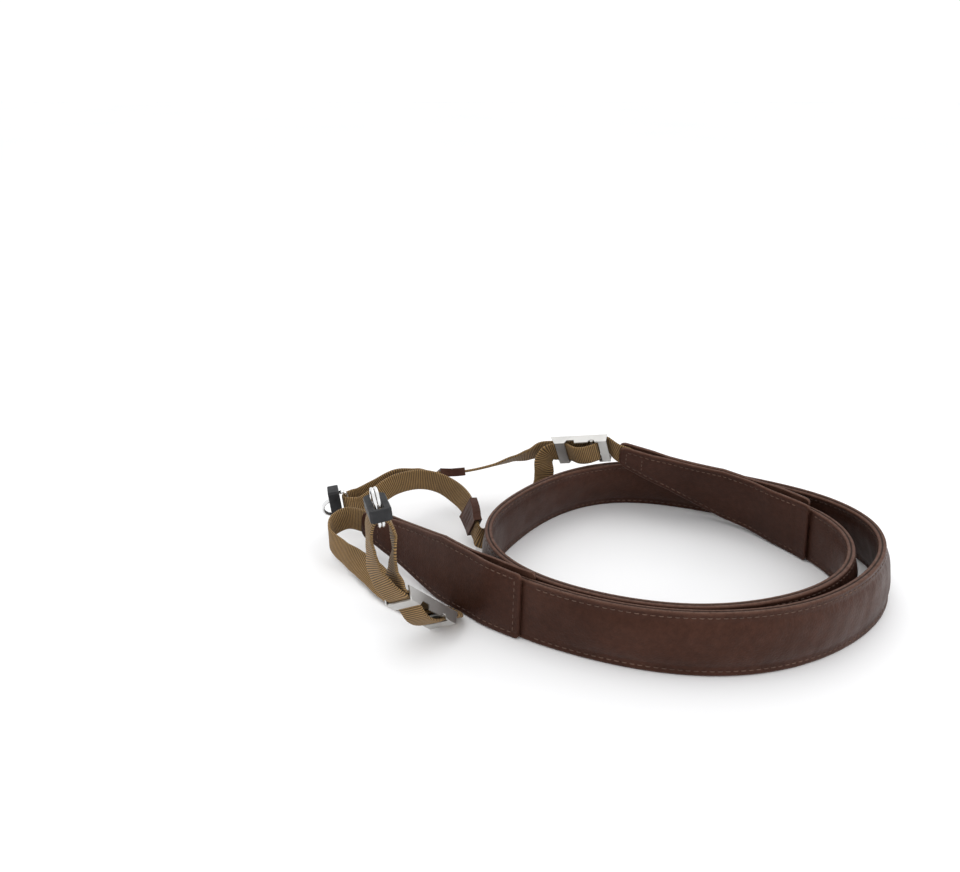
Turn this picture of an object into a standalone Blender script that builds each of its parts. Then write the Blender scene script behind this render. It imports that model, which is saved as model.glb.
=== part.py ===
"""Leather neck strap with webbing ends, coiled once and a half and standing on its long edge.

Units are metres, +Z is up and the strap stands on the plane z = 0.  Lengths in the
tables below are millimetres and angles are degrees; MM turns them into metres.
"""
import math

import bmesh
import bpy
import numpy as np
from mathutils import Vector

for old in list(bpy.data.objects):
    bpy.data.objects.remove(old)

MM = 0.001

# ---- driving sizes (mm) ------------------------------------------------------
STRAP_WIDTH = 24.0          # padded strap, edge to edge
STRAP_EDGE = 2.8            # thickness of the sewn edge, two leathers thick
STRAP_SKIVED = 2.2          # thickness of the thinned end inside a tab
STRAP_LENGTH = 602.4        # padded strap, from joint to joint
STRAP_TUCK = 11.0           # length of each strap end between the tab leathers
MARGIN = 3.6                # flat sewn border beside the padding
TAB_WIDTH = 26.0
TAB_LEATHER = 1.3           # thickness of each tab leather
TAB_BODY = 38.5             # full width part of a tab
TAB_LENGTH = 85.4           # with its tongue
TONGUE_TIP = 10.9           # width of the tongue at its tip
BACK_OVERHANG = 3.5         # the inner leather reaches this much past the outer one
GAP = 0.32                  # clearance between touching pieces
WEB_WIDTH = 10.0
WEB_THICK = 1.1
WEB_TUCK = 11.0             # length of webbing sewn between the tongue leathers
BUCKLE_WIDTH = 12.4
BUCKLE_LENGTH = 23.0
BUCKLE_DEPTH = 4.5
SHEET_METAL = 0.65
COLLAR = 4.3                # length of the buckle's sleeve
REAR_BAND = 3.6
BAR_AT = 16.4               # crossbar, from the mouth of the sleeve
BAR_RADIUS = 0.8
NOTCH = 1.55                # radius of the round notch over the crossbar
MOUTH_SLANT = -2.4          # the back corner of each side wall reaches past the mouth
WIRE = 1.1                  # diameter of the ring wire
RING_BASE = 14.4            # inside width of the ring's straight side
RING_HEIGHT = 14.2          # from the middle of the straight side to the apex
RING_CORNERS = (1.4, 3.2)   # bend of the wire at the base and at the apex
GUARD_WIDE = 7.4            # across the ring
GUARD_REACH = (-3.4, 8.9)   # along the base, from its middle
GUARD_TALL = 4.6
GUARD_SLOT = 3.0
GUARD_WALL = 1.5
KEEPER_WALL = 0.9

# The whole assembly is laid out about the point seen as the middle of its footprint.
ORIGIN_X = 45.34
ORIGIN_Y = 287.58
ORIGIN_Z = 0.04

# ---- route of the leather, along its middle -------------------------------------
# at: distance along the leather from joint a; heading: direction of travel;
# lean: how far the top edge stands inside the bottom edge; lift: height of the bottom edge
ROUTE_START = (14.79, 246.81)
ROUTE = (
    # at,    heading, lean, lift
    (-86.4, -38.5, 3.0, 0.6),     # tip of tongue a
    (-51.3, -48.0, 2.8, 0.3),
    (-20.7, -38.5, 2.0, 0.3),
    (10.0, -27.5, 0.3, 0.3),      # past joint a
    (40.6, -16.0, 0.4, 0.3),
    (71.3, 2.3, 1.9, 0.3),        # front of the outer turn
    (101.9, 23.3, 1.9, 0.3),
    (132.6, 41.6, 2.9, 0.3),
    (163.3, 70.4, 5.1, 0.3),      # right end of the outer turn
    (193.9, 117.0, 7.3, 0.3),
    (224.6, 150.0, 7.6, 0.3),
    (255.2, 157.7, 6.8, 0.3),     # rear
    (285.9, 172.5, 6.8, 0.3),
    (316.5, 206.9, 6.6, 0.3),
    (347.2, 231.4, 3.7, 0.3),
    (377.8, 249.2, 0.6, 0.3),     # left end
    (408.5, 295.0, -0.6, 0.3),
    (439.2, 328.1, -0.1, 0.3),
    (469.8, 346.2, 0.8, 0.3),
    (500.5, 367.8, 1.8, 0.3),     # front of the inner turn
    (531.1, 388.7, 2.5, 0.3),
    (561.8, 424.0, 3.2, 0.3),     # right end of the inner turn
    (592.4, 472.2, 2.5, 0.6),     # before joint b
    (623.1, 493.8, 4.8, 1.6),
    (653.8, 520.0, 7.4, 6.6),     # tongue b starts to climb
    (688.8, 532.0, 8.4, 18.6),    # tip of tongue b
)

# padding beside the middle of the strap: how far each face swells past the sewn edge
PADDING = (
    # at,    outer, inner
    (0.0, 0.0, 0.0),
    (10.0, 0.25, 0.0),
    (30.0, 1.25, 0.05),
    (112.0, 1.25, 0.05),
    (140.0, 1.15, 0.8),
    (400.0, 1.15, 0.8),
    (424.0, 0.05, 1.15),
    (522.0, 0.05, 1.15),
    (548.0, 1.0, 1.05),
    (580.0, 1.0, 0.9),
    (594.0, 0.25, 0.2),
    (602.4, 0.0, 0.0),
)

# ---- buckle a: where the mouth of its sleeve is and how it is turned -------------
BUCKLE_A = dict(mouth=(-27.3, 241.7, 20.5), length_axis=(0.62, 0.36, -0.69), width_axis=(0.78, -0.40, 0.49))
BUCKLE_B = dict(mouth=(34.9, 344.4, 27.7), length_axis=(0.945, -0.30, 0.19), width_axis=(-0.20, -0.30, 0.93))


# ---- rings: middle of the straight side, direction from apex to it, direction along it ----
RING_A = dict(base=(-33.8, 247.3, 48.2), down=(0.09, 0.03, -1.0), across=(0.30, -0.95, 0.0))
RING_B = dict(base=(-57.0, 323.6, 11.6), down=(0.95, 0.20, 0.10), across=(0.16, 0.0, 0.98))
for ring in (RING_A, RING_B):
    ring["base"], ring["down"], along = Vector(ring["base"]), Vector(ring["down"]).normalized(), Vector(ring["across"])
    ring["across"] = (along - ring["down"] * along.dot(ring["down"])).normalized()


# ---- curves --------------------------------------------------------------------
def spline(at, values, query):
    """Natural cubic spline through the rows (at, values), read at query."""
    x = np.asarray(at, float)
    y = np.asarray(values, float)
    n = len(x)
    h = np.diff(x)
    a = np.zeros((n, n))
    b = np.zeros(n)
    a[0, 0] = a[-1, -1] = 1.0
    for i in range(1, n - 1):
        a[i, i - 1] = h[i - 1]
        a[i, i] = 2.0 * (h[i - 1] + h[i])
        a[i, i + 1] = h[i]
        b[i] = 6.0 * ((y[i + 1] - y[i]) / h[i] - (y[i] - y[i - 1]) / h[i - 1])
    m = np.linalg.solve(a, b)
    q = np.atleast_1d(np.asarray(query, float))
    k = np.clip(np.searchsorted(x, q) - 1, 0, n - 2)
    t0, t1 = q - x[k], x[k + 1] - q
    return (m[k] * t1 ** 3 + m[k + 1] * t0 ** 3) / (6.0 * h[k]) \
        + (y[k] / h[k] - m[k] * h[k] / 6.0) * t1 + (y[k + 1] / h[k] - m[k + 1] * h[k] / 6.0) * t0


def eased(rows, column, query):
    """Rows (at, ...) joined by smooth steps, read at query."""
    x = np.array([r[0] for r in rows], float)
    y = np.array([r[column] for r in rows], float)
    q = np.clip(np.atleast_1d(np.asarray(query, float)), x[0], x[-1])
    k = np.clip(np.searchsorted(x, q) - 1, 0, len(x) - 2)
    t = (q - x[k]) / (x[k + 1] - x[k])
    t = t * t * (3.0 - 2.0 * t)
    return y[k] * (1.0 - t) + y[k + 1] * t


class Leather:
    """The standing leather: its middle line on plan, and the frame at each distance."""

    def __init__(self, step=0.5):
        at = [r[0] for r in ROUTE]
        self.s = np.arange(at[0], at[-1] + step / 2, step)
        head = np.radians(spline(at, [r[1] for r in ROUTE], self.s))
        c, s = np.cos(head), np.sin(head)
        x = np.concatenate([[0.0], np.cumsum((c[1:] + c[:-1]) / 2 * step)])
        y = np.concatenate([[0.0], np.cumsum((s[1:] + s[:-1]) / 2 * step)])
        self.x = x + ROUTE_START[0] - np.interp(0.0, self.s, x)
        self.y = y + ROUTE_START[1] - np.interp(0.0, self.s, y)
        self.head = head
        self.lean = spline(at, [r[2] for r in ROUTE], self.s)
        self.lift = spline(at, [r[3] for r in ROUTE], self.s)

    def frame(self, s, width):
        """Middle of the section, its upward direction and its outward direction."""
        x, y, head, lean, lift = (float(np.interp(s, self.s, v)) for v in (self.x, self.y, self.head, self.lean, self.lift))
        inward = Vector((-math.sin(head), math.cos(head), 0.0))
        up = (inward * lean + Vector((0.0, 0.0, math.sqrt(STRAP_WIDTH ** 2 - lean ** 2)))).normalized()
        along = Vector((math.cos(head), math.sin(head), 0.0))
        out = along.cross(up).normalized()
        middle = Vector((x, y, lift)) + up * (width / 2.0)
        return middle, up, out


LEATHER = Leather()


# ---- mesh helpers --------------------------------------------------------------
def place(p):
    return Vector((p[0] - ORIGIN_X, p[1] - ORIGIN_Y, p[2] - ORIGIN_Z)) * MM


def material(name, colour, roughness, metallic=0.0):
    m = bpy.data.materials.new(name)
    m.use_nodes = True
    b = m.node_tree.nodes["Principled BSDF"]
    b.inputs["Base Color"].default_value = (*colour, 1.0)
    b.inputs["Roughness"].default_value = roughness
    b.inputs["Metallic"].default_value = metallic
    return m


def add_object(name, bm, mat, sharp=40.0):
    bmesh.ops.recalc_face_normals(bm, faces=bm.faces[:])
    mesh = bpy.data.meshes.new(name)
    bm.to_mesh(mesh)
    bm.free()
    mesh.shade_smooth()
    mesh.set_sharp_from_angle(angle=math.radians(sharp))
    mesh.materials.append(mat)
    obj = bpy.data.objects.new(name, mesh)
    bpy.context.collection.objects.link(obj)
    obj.parent = ASSEMBLY
    return obj


def sweep(name, rings, mat, closed=False, sharp=40.0):
    """Skin a row of equal rings of points; the two ends are capped unless it closes."""
    bm = bmesh.new()
    rows = [[bm.verts.new(place(p)) for p in ring] for ring in rings]
    n = len(rows[0])
    pairs = list(zip(rows[:-1], rows[1:])) + ([(rows[-1], rows[0])] if closed else [])
    for a, b in pairs:
        for i in range(n):
            j = (i + 1) % n
            bm.faces.new((a[i], a[j], b[j], b[i]))
    if not closed:
        bm.faces.new(rows[0][::-1])
        bm.faces.new(rows[-1])
    return add_object(name, bm, mat, sharp)


def sleeve(name, outer, inner, mat):
    """A tube with a rectangular bore: rows of outer rings and of inner rings."""
    bm = bmesh.new()
    o = [[bm.verts.new(place(p)) for p in ring] for ring in outer]
    i_ = [[bm.verts.new(place(p)) for p in ring] for ring in inner]
    n = len(o[0])
    for rows in (o, i_):
        for a, b in zip(rows[:-1], rows[1:]):
            for k in range(n):
                j = (k + 1) % n
                bm.faces.new((a[k], a[j], b[j], b[k]))
    for a, b in ((o[0], i_[0]), (o[-1], i_[-1])):
        for k in range(n):
            j = (k + 1) % n
            bm.faces.new((a[k], a[j], b[j], b[k]))
    return add_object(name, bm, mat)


def stations(start, end, step):
    n = max(2, int(round((end - start) / step)) + 1)
    return np.linspace(start, end, n)


# ---- padded strap ----------------------------------------------------------------
def strap_half(s):
    """Half the thickness of the sewn edge; the ends are thinned where the tabs hold them."""
    inside = np.clip(min(s, STRAP_LENGTH - s) / 8.0, 0.0, 1.0)
    return (STRAP_SKIVED + (STRAP_EDGE - STRAP_SKIVED) * inside) / 2.0


def strap_section(s):
    middle, up, out = LEATHER.frame(s, STRAP_WIDTH)
    half, side = STRAP_WIDTH / 2.0, strap_half(s)
    swell_out = float(eased(PADDING, 1, s)[0])
    swell_in = float(eased(PADDING, 2, s)[0])
    flat = half - MARGIN
    face = ((half - 0.5, 0.0), (flat, 0.0), (flat - 2.6, 0.78), (0.0, 1.0), (-flat + 2.6, 0.78), (-flat, 0.0), (-half + 0.5, 0.0))
    ring = [(v, side + swell_out * f) for v, f in face]
    ring += [(-half, side - 0.6), (-half, -side + 0.6)]
    ring += [(-v, -side - swell_in * f) for v, f in face]
    ring += [(half, -side + 0.6), (half, side - 0.6)]
    return [middle + up * v + out * w for v, w in ring]


def make_strap(mat):
    at = np.concatenate([stations(-STRAP_TUCK, 12.0, 5.7)[:-1], stations(12.0, STRAP_LENGTH - 12.0, 6.4),
                         stations(STRAP_LENGTH - 12.0, STRAP_LENGTH + STRAP_TUCK, 5.7)[1:]])
    return sweep("strap_pad", [strap_section(s) for s in at], mat, sharp=50.0)


# ---- tabs ------------------------------------------------------------------------
def tab_width(d):
    """Width at distance d from the joint: full, then tapering along the tongue."""
    t = np.clip((d - TAB_BODY) / (TAB_LENGTH - TAB_BODY), 0.0, 1.0)
    return TAB_WIDTH + (TONGUE_TIP - TAB_WIDTH) * t


def tab_inner(d):
    """Distance from the middle line to the inside of either leather."""
    hold = STRAP_SKIVED / 2.0 + GAP
    web = WEB_THICK / 2.0 + GAP
    rows = ((-4.0, hold + 0.02), (STRAP_TUCK + 1.5, hold), (STRAP_TUCK + 16.0, 0.2), (TAB_LENGTH - WEB_TUCK - 12.0, 0.2),
            (TAB_LENGTH - WEB_TUCK - 1.5, web), (TAB_LENGTH, web))
    base = float(eased(rows, 1, d)[0])
    if d < 8.0:        # the strap swells again towards the joint
        base = max(base, strap_half(-d if d < 0 else 0.0) + GAP)
    return base


def tab_leather(name, end, side, mat):
    """One leather of a tab.  end: -1 at the start of the strap, +1 at its far end."""
    joint = 0.0 if end < 0 else STRAP_LENGTH
    over = BACK_OVERHANG if side < 0 else 0.0
    rings = []
    spots = [-over, 1.2 - over, 4.0, 9.0, 14.0, 20.0, 27.0, 34.0, TAB_BODY, 48.0, 55.0, 62.0, 69.0, 75.0, TAB_LENGTH - 1.2, TAB_LENGTH]
    for k, d in enumerate(spots):
        width = tab_width(d)
        middle, up, out = LEATHER.frame(joint + end * d, TAB_WIDTH)
        half = width / 2.0 - (0.9 if k in (0, len(spots) - 1) else 0.0)
        inner = tab_inner(d)
        outer = inner + TAB_LEATHER
        c = 0.35
        ring = [(half - c, outer), (-half + c, outer), (-half, outer - c), (-half, inner), (half, inner), (half, outer - c)]
        rings.append([middle + up * v + out * (side * w) for v, w in ring])
    return sweep(name, rings, mat)


# ---- webbing ----------------------------------------------------------------------
def through(points, extra, fine=14):
    """A smooth line through points, with the extra columns eased along it."""
    p, e = np.asarray(points, float), np.asarray(extra, float)
    step = np.sqrt(np.linalg.norm(np.diff(p, axis=0), axis=1))
    slope = np.diff(p, axis=0) / step[:, None]
    tangent = np.empty_like(p)
    tangent[0], tangent[-1] = slope[0], slope[-1]
    a, b = step[:-1, None], step[1:, None]
    tangent[1:-1] = (slope[:-1] * b + slope[1:] * a) / (a + b)
    line, more = [], []
    for i, h in enumerate(step):
        for t in np.linspace(0.0, 1.0, fine + 1)[: None if i == len(step) - 1 else -1]:
            u = 1.0 - t
            line.append((1 + 2 * t) * u * u * p[i] + t * u * u * h * tangent[i] + t * t * (3 - 2 * t) * p[i + 1] - t * t * u * h * tangent[i + 1])
            ease = t * t * (3 - 2 * t)
            more.append(e[i] * (1 - ease) + e[i + 1] * ease)
    return np.array(line), np.array(more)


def ribbon_rings(rows, longest=3.0, bend=22.0, width=WEB_WIDTH, thick=WEB_THICK):
    """Rows (x, y, z, wx, wy, wz): points on the middle line and the width direction there."""
    line, wide = through([r[:3] for r in rows], [np.array(r[3:6]) / np.linalg.norm(r[3:6]) for r in rows])
    tan = np.gradient(line, axis=0)
    tan /= np.linalg.norm(tan, axis=1)[:, None]
    wide -= tan * (wide * tan).sum(1)[:, None]
    wide /= np.linalg.norm(wide, axis=1)[:, None]
    keep, run, turn = [0], 0.0, 0.0
    for i in range(1, len(line) - 1):
        run += np.linalg.norm(line[i] - line[i - 1])
        turn += math.degrees(math.acos(min(1.0, float(tan[i] @ tan[i - 1])))) + math.degrees(math.acos(min(1.0, float(wide[i] @ wide[i - 1]))))
        if run >= longest or turn >= bend:
            keep.append(i)
            run = turn = 0.0
    if run < 0.4:
        keep.pop()
    keep.append(len(line) - 1)
    mid, wid, tan = line[keep], wide[keep], tan[keep]
    nor = np.cross(tan, wid)
    rings = []
    for m, a, b in zip(mid, wid, nor):
        m, a, b = Vector(m), Vector(a) * (width / 2.0), Vector(b) * (thick / 2.0)
        rings.append([m + a + b, m - a + b, m - a - b, m + a - b])
    return rings, mid, wid, nor


class Frame:
    """Local frame of a buckle: u along it, v across it, w out of its front."""

    def __init__(self, mouth, length_axis, width_axis):
        self.o = Vector(mouth)
        self.u = Vector(length_axis).normalized()
        v = Vector(width_axis)
        self.v = (v - self.u * v.dot(self.u)).normalized()
        self.w = self.u.cross(self.v).normalized()

    def at(self, u, v, w):
        return self.o + self.u * u + self.v * v + self.w * w

    def row(self, u, w):
        p = self.at(u, 0.0, w)
        return (*p, *self.v)


FRAME_A = Frame(**BUCKLE_A)
FRAME_B = Frame(**BUCKLE_B)

# strands inside a buckle, from the rear: under the bar, then through the sleeve
BACK_STRAND = ((23.4, -1.6), (20.8, -2.0), (18.4, -2.25), (16.2, -2.3), (13.6, -2.1), (10.6, -1.55), (7.6, -1.0), (5.4, -0.78), (3.4, -0.76), (1.6, -0.76), (0.0, -0.77), (-1.6, -0.84))
# and back: through the sleeve, swelling out in front, round the bar to the cut end
FRONT_STRAND = ((-1.6, 0.80), (0.0, 0.77), (1.8, 0.76), (3.6, 0.78), (5.0, 1.25), (6.8, 2.5), (9.0, 3.75), (11.6, 4.15), (14.2, 3.75), (16.4, 2.90),
                (17.75, 2.10), (18.25, 0.95), (17.7, -0.25), (16.4, -0.72), (14.9, -0.62))
# webbing a turns sharply behind its buckle
REAR_TURN = ((25.2, -2.2),)


def tip_row(end, d, offset=0.0):
    """A row of webbing on the middle line of a tab, d past its joint."""
    joint = 0.0 if end < 0 else STRAP_LENGTH
    s = joint + end * d
    lo, hi = LEATHER.s[0], LEATHER.s[-1]
    past = 0.0
    if s < lo:
        past, s = s - lo, lo
    if s > hi:
        past, s = s - hi, hi
    middle, up, out = LEATHER.frame(s, TAB_WIDTH)
    near, _, _ = LEATHER.frame(s + 1.0 if end < 0 else s - 1.0, TAB_WIDTH)
    along = (near - middle if end < 0 else middle - near).normalized()
    p = middle + along * past + out * offset
    return (*p, *up)


def round_bar(ring, first, spread, leave):
    """Rows that lead over a ring's straight side: first is the side the strand comes from."""
    side = ring["down"].cross(ring["across"]).normalized()
    table = ((1.0, leave), (0.86, 2.4), (0.50, -0.55), (0.0, -1.5))
    rows = [(first * spread * a, d) for a, d in table] + [(-first * spread * a, d) for a, d in table[-2::-1]]
    return [(*(ring["base"] + side * a + ring["down"] * d), *ring["across"]) for a, d in rows]


def webbing_a_rows():
    rows = [tip_row(-1, TAB_LENGTH - WEB_TUCK + 1.0), tip_row(-1, TAB_LENGTH - 4.0), tip_row(-1, TAB_LENGTH + 2.0)]
    # turns back beside the tab towards the buckle
    rows += [
        (-55.4, 308.6, 13.2, 0.0, 0.05, 1.0),
        (-60.6, 305.0, 11.6, 0.0, 0.0, 1.0),
        (-60.8, 298.8, 9.6, 0.0, 0.0, 1.0),
        (-54.4, 291.5, 7.4, 0.05, 0.16, 0.98),
        (-48.5, 286.0, 6.4, 0.27, 0.32, 0.91),
        (-42.0, 280.3, 4.9, 0.50, 0.57, 0.64),
        (-36.3, 273.6, 3.3, 0.62, 0.71, 0.31),
        (-29.6, 267.2, 1.8, 0.60, 0.79, 0.07),
        (-23.0, 262.4, 1.2, 0.48, 0.87, 0.0),
        (-17.0, 259.9, 1.2, 0.55, 0.83, 0.0),
        (-12.4, 257.6, 1.4, 0.92, 0.38, 0.06),
        (-10.9, 254.2, 3.0, 0.88, -0.30, 0.34),
    ]
    rows += [FRAME_A.row(u, w) for u, w in REAR_TURN + BACK_STRAND]
    # up to the ring, over its straight side, and down again
    rows += [
        (-28.9, 242.6, 26.0, 0.68, -0.56, 0.47),
        (-29.3, 244.2, 31.0, 0.36, -0.82, 0.44),
        (-28.9, 245.8, 36.4, 0.16, -0.90, 0.40),
    ]
    rows += round_bar(RING_A, -1.0, 4.1, 6.6)
    rows += [
        (-36.6, 245.0, 36.4, 0.42, -0.88, 0.15),
        (-35.3, 242.6, 30.6, 0.58, -0.72, 0.30),
        (-32.0, 240.6, 25.4, 0.72, -0.52, 0.44),
    ]
    rows += [FRAME_A.row(u, w) for u, w in FRONT_STRAND]
    return rows


def webbing_b_rows():
    rows = [tip_row(1, TAB_LENGTH - WEB_TUCK + 1.0), tip_row(1, TAB_LENGTH - 4.0), tip_row(1, TAB_LENGTH + 0.8)]
    rows += [(*FRAME_B.at(22.2, 0.35, -1.8), *FRAME_B.v)]
    rows += [FRAME_B.row(u, w) for u, w in BACK_STRAND[2:]]
    # the upper strand, edge on, to the far ring
    rows += [
        (28.4, 347.6, 26.6, -0.20, -0.36, 0.90),
        (21.6, 347.0, 24.2, -0.12, -0.62, 0.76),
        (14.6, 345.6, 22.9, -0.12, -0.80, 0.56),
        (5.2, 343.4, 20.6, -0.14, -0.88, 0.42),
        (-4.6, 341.0, 19.3, -0.15, -0.88, 0.40),
        (-12.5, 339.1, 19.2, -0.15, -0.88, 0.40),
        (-20.5, 337.0, 19.2, -0.14, -0.80, 0.55),
        (-28.5, 334.8, 19.3, -0.04, -0.32, 0.94),
        (-37.0, 332.4, 19.4, 0.05, -0.10, 1.0),
        (-45.0, 330.2, 15.6, 0.14, 0.0, 0.98),
    ]
    rows += round_bar(RING_B, -1.0, 3.9, 5.6)
    # the lower strand: back, down to the floor, along behind the strap and up to the buckle
    rows += [
        (-44.6, 323.6, 15.4, 0.14, 0.0, 0.98),
        (-36.6, 327.0, 19.4, 0.05, -0.05, 1.0),
        (-26.0, 329.6, 20.6, 0.10, -0.10, 0.99),
        (-17.6, 328.4, 19.4, 0.30, -0.15, 0.94),
        (-10.6, 324.2, 17.0, 0.40, -0.10, 0.90),
        (-6.2, 318.8, 15.0, 0.34, -0.10, 0.93),
        (-3.6, 312.6, 12.0, 0.22, -0.05, 0.97),
        (-2.2, 307.6, 8.9, 0.08, 0.0, 0.99),
        (-0.2, 304.4, 6.8, 0.0, 0.0, 1.0),
        (3.9, 305.6, 5.9, 0.0, 0.0, 1.0),
        (8.4, 313.0, 5.8, -0.05, 0.05, 1.0),
        (13.4, 321.6, 5.7, -0.05, 0.10, 1.0),
        (18.6, 329.8, 5.7, 0.0, 0.10, 1.0),
        (22.4, 335.6, 6.0, 0.0, 0.0, 1.0),
        (25.8, 339.4, 8.0, -0.34, -0.30, 0.89),
        (27.9, 341.9, 12.2, -0.72, -0.42, 0.50),
        (28.9, 343.6, 16.8, -0.86, -0.36, 0.26),
        (28.6, 344.4, 22.4, -0.70, -0.40, 0.60),
        (30.6, 344.6, 26.0, -0.36, -0.36, 0.86),
    ]
    rows += [FRAME_B.row(u, w) for u, w in FRONT_STRAND]
    return rows


# ---- hardware ---------------------------------------------------------------------
def box_mesh(bm, frame, u, v, w):
    c = [bm.verts.new(place(frame.at(a, b, d))) for a in u for b in v for d in w]
    for f in ((0, 1, 3, 2), (4, 6, 7, 5), (0, 4, 5, 1), (2, 3, 7, 6), (0, 2, 6, 4), (1, 5, 7, 3)):
        bm.faces.new([c[i] for i in f])


def profile_plate(bm, frame, outline, v0, v1):
    """A plate cut to an outline of (u, w) corners, between two heights of v."""
    a = [bm.verts.new(place(frame.at(u, v0, w))) for u, w in outline]
    b = [bm.verts.new(place(frame.at(u, v1, w))) for u, w in outline]
    n = len(outline)
    bm.faces.new(a[::-1])
    bm.faces.new(b)
    for i in range(n):
        j = (i + 1) % n
        bm.faces.new((a[i], a[j], b[j], b[i]))


def bar_mesh(bm, frame, u, w, radius, v0, v1, sides=12):
    rows = []
    for v in (v0, v1):
        rows.append([bm.verts.new(place(frame.at(u + radius * math.cos(2 * math.pi * k / sides), v, w + radius * math.sin(2 * math.pi * k / sides))))
                     for k in range(sides)])
    bm.faces.new(rows[0][::-1])
    bm.faces.new(rows[1])
    for k in range(sides):
        j = (k + 1) % sides
        bm.faces.new((rows[0][k], rows[0][j], rows[1][j], rows[1][k]))


def solid(name, build):
    bm = bmesh.new()
    build(bm)
    bmesh.ops.recalc_face_normals(bm, faces=bm.faces[:])
    mesh = bpy.data.meshes.new(name)
    bm.to_mesh(mesh)
    bm.free()
    obj = bpy.data.objects.new(name, mesh)
    bpy.context.collection.objects.link(obj)
    return obj


def joined(name, builders, mat):
    """Boolean union of several simple solids into one body, with its edges eased."""
    parts = [solid(name if i == 0 else "%s_tool_%d" % (name, i), b) for i, b in enumerate(builders)]
    base = parts[0]
    for tool in parts[1:]:
        mod = base.modifiers.new("union", "BOOLEAN")
        mod.operation = "UNION"
        mod.solver = "EXACT"
        mod.object = tool
    bpy.context.view_layer.update()
    mesh = bpy.data.meshes.new_from_object(base.evaluated_get(bpy.context.evaluated_depsgraph_get()))
    for part in parts:
        old = part.data
        bpy.data.objects.remove(part)
        bpy.data.meshes.remove(old)
    bm = bmesh.new()
    bm.from_mesh(mesh)
    bmesh.ops.remove_doubles(bm, verts=bm.verts[:], dist=0.000002)
    bpy.data.meshes.remove(mesh)
    return add_object(name, bm, mat, sharp=35.0)


def side_outline():
    """Side wall of the buckle: slanted mouth, then a slot, a tooth and a round notch on its front edge."""
    top = BUCKLE_DEPTH / 2.0
    pts = [(0.0, top), (MOUTH_SLANT, -top), (BUCKLE_LENGTH, -top), (BUCKLE_LENGTH, top), (BUCKLE_LENGTH - REAR_BAND, top)]
    for k in range(7):
        a = math.radians(8.0 + 164.0 * k / 6.0)
        pts.append((BAR_AT + NOTCH * math.cos(a), top + 0.05 - NOTCH * math.sin(a)))
    pts += [(13.4, top), (8.9, top), (8.5, 0.5), (COLLAR + 1.0, 0.4), (COLLAR, top)]
    return pts


def make_buckle(name, frame, mat):
    half, top, t = BUCKLE_WIDTH / 2.0, BUCKLE_DEPTH / 2.0, SHEET_METAL
    o = 0.02
    parts = [
        lambda bm: profile_plate(bm, frame, side_outline(), half - t, half),
        lambda bm: profile_plate(bm, frame, side_outline(), -half, -half + t),
        lambda bm: box_mesh(bm, frame, (o, COLLAR - o), (-half + t / 2, half - t / 2), (top - t, top - o)),
        lambda bm: box_mesh(bm, frame, (0.5, COLLAR - o), (-half + t / 2, half - t / 2), (-top + o, -top + t)),
        lambda bm: box_mesh(bm, frame, (BUCKLE_LENGTH - REAR_BAND, BUCKLE_LENGTH - o), (-half + t / 2, half - t / 2), (top - t, top - o)),
        lambda bm: bar_mesh(bm, frame, BAR_AT, 0.95, BAR_RADIUS, -half + t / 2, half - t / 2),
    ]
    return joined(name, parts, mat)


def ring_outline(steps=6):
    """One turn of the ring on its own plane, from the middle of a leg round to it again."""
    half, wire = RING_BASE / 2.0, WIRE / 2.0
    base_bend, apex_bend = RING_CORNERS
    corners = ((half + wire, 0.0, base_bend), (0.0, RING_HEIGHT, apex_bend), (-half - wire, 0.0, base_bend))
    flat = []
    for i, (x, y, bend) in enumerate(corners):
        here = Vector((x, y))
        before, after = (Vector(corners[k][:2]) for k in (i - 1, (i + 1) % 3))
        to_before, to_after = (before - here).normalized(), (after - here).normalized()
        angle = to_before.angle(to_after)
        reach = bend / math.tan(angle / 2.0)
        centre = here + (to_before + to_after).normalized() * (bend / math.sin(angle / 2.0))
        a, b = here + to_before * reach - centre, here + to_after * reach - centre
        turn = a.angle_signed(b)
        for k in range(steps + 1):
            q = -turn * k / steps
            c, d = math.cos(q), math.sin(q)
            flat.append(centre + Vector((a.x * c - a.y * d, a.x * d + a.y * c)))
    cut = steps + 1
    middle = (flat[cut - 1] + flat[cut]) / 2.0
    return [middle] + flat[cut:] + flat[:cut] + [middle]


def ring_path(base, down, across, pitch=WIRE + 0.16, step_over=3.0):
    """Two turns of a rounded triangle lying side by side, with a short step from one to the other."""
    side = down.cross(across).normalized()
    loop = ring_outline()
    lens = [0.0]
    for a, b in zip(loop[:-1], loop[1:]):
        lens.append(lens[-1] + (b - a).length)
    turn = lens[-1]
    marks = [v for v in lens if v < turn - step_over - 0.8]
    at = [0.5] + marks[1:] + [turn - step_over, turn - step_over / 2.0, turn] + [turn + v for v in marks[1:]] + [2 * turn - step_over - 0.5]
    out = []
    for q in at:
        x, y = (float(np.interp(q % turn if q < 2 * turn else turn, lens, [p[k] for p in loop])) for k in (0, 1))
        t = min(max((q - (turn - step_over)) / step_over, 0.0), 1.0)
        out.append(base - down * y + across * x + side * (pitch * (t * t * (3 - 2 * t) - 0.5)))
    return out


def tube(name, path, radius, mat, sides=8):
    rings = []
    ref = None
    for i, p in enumerate(path):
        t = (path[min(i + 1, len(path) - 1)] - path[max(i - 1, 0)]).normalized()
        if ref is None:
            ref = t.orthogonal().normalized()
        ref = (ref - t * ref.dot(t)).normalized()
        b = t.cross(ref)
        rings.append([p + ref * (radius * math.cos(2 * math.pi * k / sides)) + b * (radius * math.sin(2 * math.pi * k / sides)) for k in range(sides)])
    return sweep(name, rings, mat, sharp=60.0)


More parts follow.
